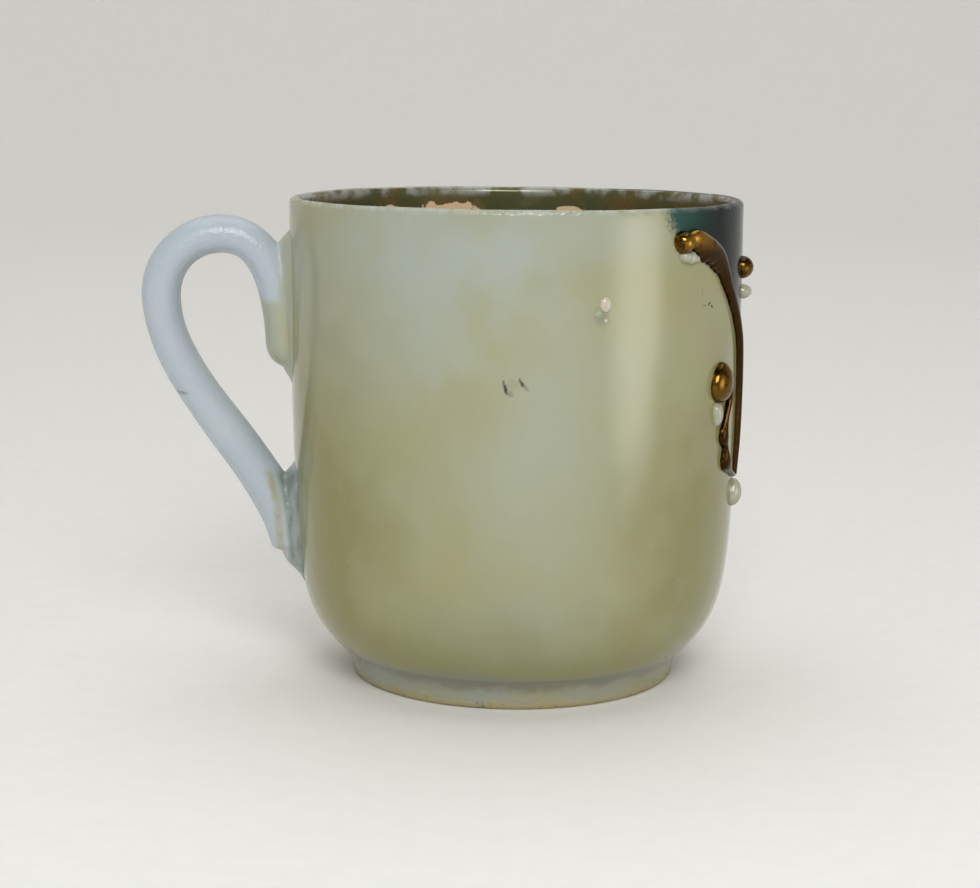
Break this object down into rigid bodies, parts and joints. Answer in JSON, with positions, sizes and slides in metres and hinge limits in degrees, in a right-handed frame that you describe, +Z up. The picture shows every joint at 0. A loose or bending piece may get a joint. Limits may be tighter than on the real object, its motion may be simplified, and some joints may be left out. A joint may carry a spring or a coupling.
{
  "type": "espresso cup",
  "caption": "Small straight-walled porcelain coffee cup on a foot ring, with a slender loop handle luted to the wall and raised gilt scrolls with enamel drops on the front.",
  "frame": {"origin": "on the cup's axis, at the table that the foot ring stands on", "axes": "+Z up along the cup's axis, -X towards the handle, +X towards the front ornament, -Y towards the pictured side"},
  "size_m": [0.0727, 0.0542, 0.058],
  "materials": {
    "pearl_lustre": "glossy mother-of-pearl lustre over porcelain",
    "clear_glaze": "glossy clear glaze over bluish white porcelain",
    "foot_glaze": "thin worn glaze",
    "slip_glaze": "glazed slip",
    "gilding": "burnished gold over raised paste",
    "enamel": "glossy white enamel"
  },
  "bodies": {
    "root": {"cup_bowl": "pearl_lustre", "foot_ring": "foot_glaze", "handle": "clear_glaze", "upper_luting": "slip_glaze", "lower_luting": "slip_glaze", "upper_scroll_left": "gilding", "upper_scroll_right": "gilding", "tendril_left": "gilding", "tendril_right": "gilding", "upper_bud_left": "gilding", "upper_bud_right": "gilding", "upper_pearl_left": "enamel", "upper_pearl_right": "enamel", "crown_bead_left": "gilding", "crown_bead_right": "gilding", "crown_pearl_left": "enamel", "crown_pearl_right": "enamel", "lower_bud_left": "gilding", "lower_bud_right": "gilding", "lower_drop_left": "enamel", "lower_drop_right": "enamel", "base_pearl_left": "enamel", "base_pearl_right": "enamel", "spilled_drop": "enamel"}
  },
  "joints": []
}
